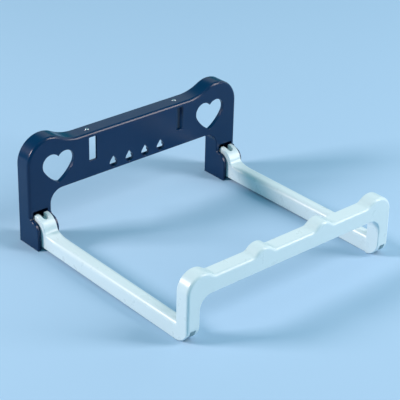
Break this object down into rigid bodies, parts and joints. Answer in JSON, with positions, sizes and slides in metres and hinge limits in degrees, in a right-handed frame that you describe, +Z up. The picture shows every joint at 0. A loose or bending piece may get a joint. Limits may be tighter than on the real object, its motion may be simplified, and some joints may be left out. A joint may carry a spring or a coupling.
{
  "type": "folding clothes frame",
  "caption": "Hinged frame for folding garments: an upright plastic panel with heart and slot cut-outs, and a U-shaped frame that folds up against it.",
  "frame": {"origin": "on the floor, under the middle of the whole object as it stands open", "axes": "+X along the panel's width, to the right seen from the rail; +Y from the rail to the panel; +Z up"},
  "size_m": [0.26, 0.2406, 0.1075],
  "materials": {
    "panel": "navy moulded plastic with a satin gloss",
    "frame": "pale mint-blue moulded plastic, satin",
    "pins": "drawn bright steel wire"
  },
  "bodies": {
    "back_panel": {"back_panel": "panel", "hinge_pin_left": "pins", "hinge_pin_right": "pins", "strap_bar_left": "pins", "strap_bar_right": "pins"},
    "folding_frame": {"folding_frame": "frame"}
  },
  "joints": [
    {"name": "fold", "type": "hinge", "parent": "back_panel", "child": "folding_frame", "pos_m": [0, 0.10075, 0.018], "axis": [-1, 0, 0], "range_deg": [0, 90]}
  ]
}
